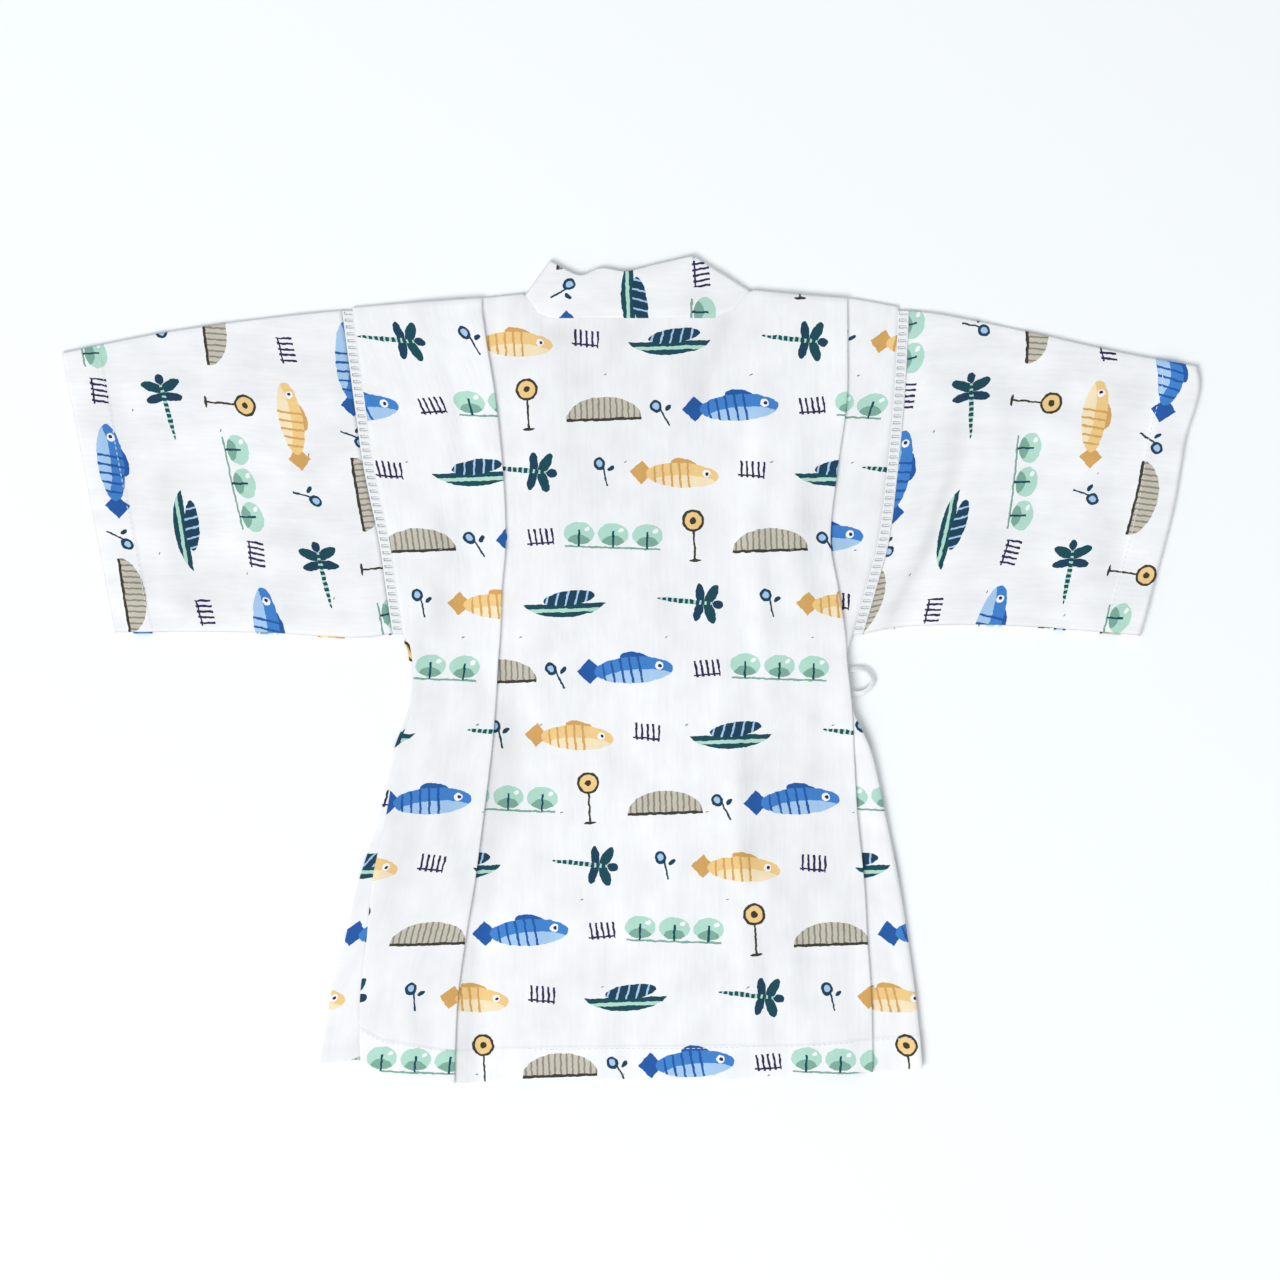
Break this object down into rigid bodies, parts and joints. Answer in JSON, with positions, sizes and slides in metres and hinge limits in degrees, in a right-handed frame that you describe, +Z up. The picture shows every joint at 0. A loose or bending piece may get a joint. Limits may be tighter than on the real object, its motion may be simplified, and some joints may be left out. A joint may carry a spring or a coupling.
{
  "type": "jinbei top",
  "caption": "Toddler's wrap-front jinbei top of light printed cotton, laid flat face down, with wide open sleeves, ladder tape armholes, a folded collar band and tape ties.",
  "frame": {"origin": "centre of the footprint on the surface that the garment lies on", "axes": "+Z up out of the back panel, +Y from the hem to the neck, +X to the viewer's right from cuff to cuff"},
  "size_m": [0.6237, 0.4544, 0.0062],
  "materials": {
    "print_cotton": "matt crepe weave",
    "white_tape": "matt cotton tape"
  },
  "bodies": {
    "root": {"back_panel": "print_cotton", "front_left": "print_cotton", "front_right": "print_cotton", "collar": "print_cotton", "sleeve_left": "print_cotton", "sleeve_right": "print_cotton", "ladder_left": "white_tape", "ladder_right": "white_tape", "tie_front": "white_tape", "tie_side": "white_tape"}
  },
  "joints": []
}
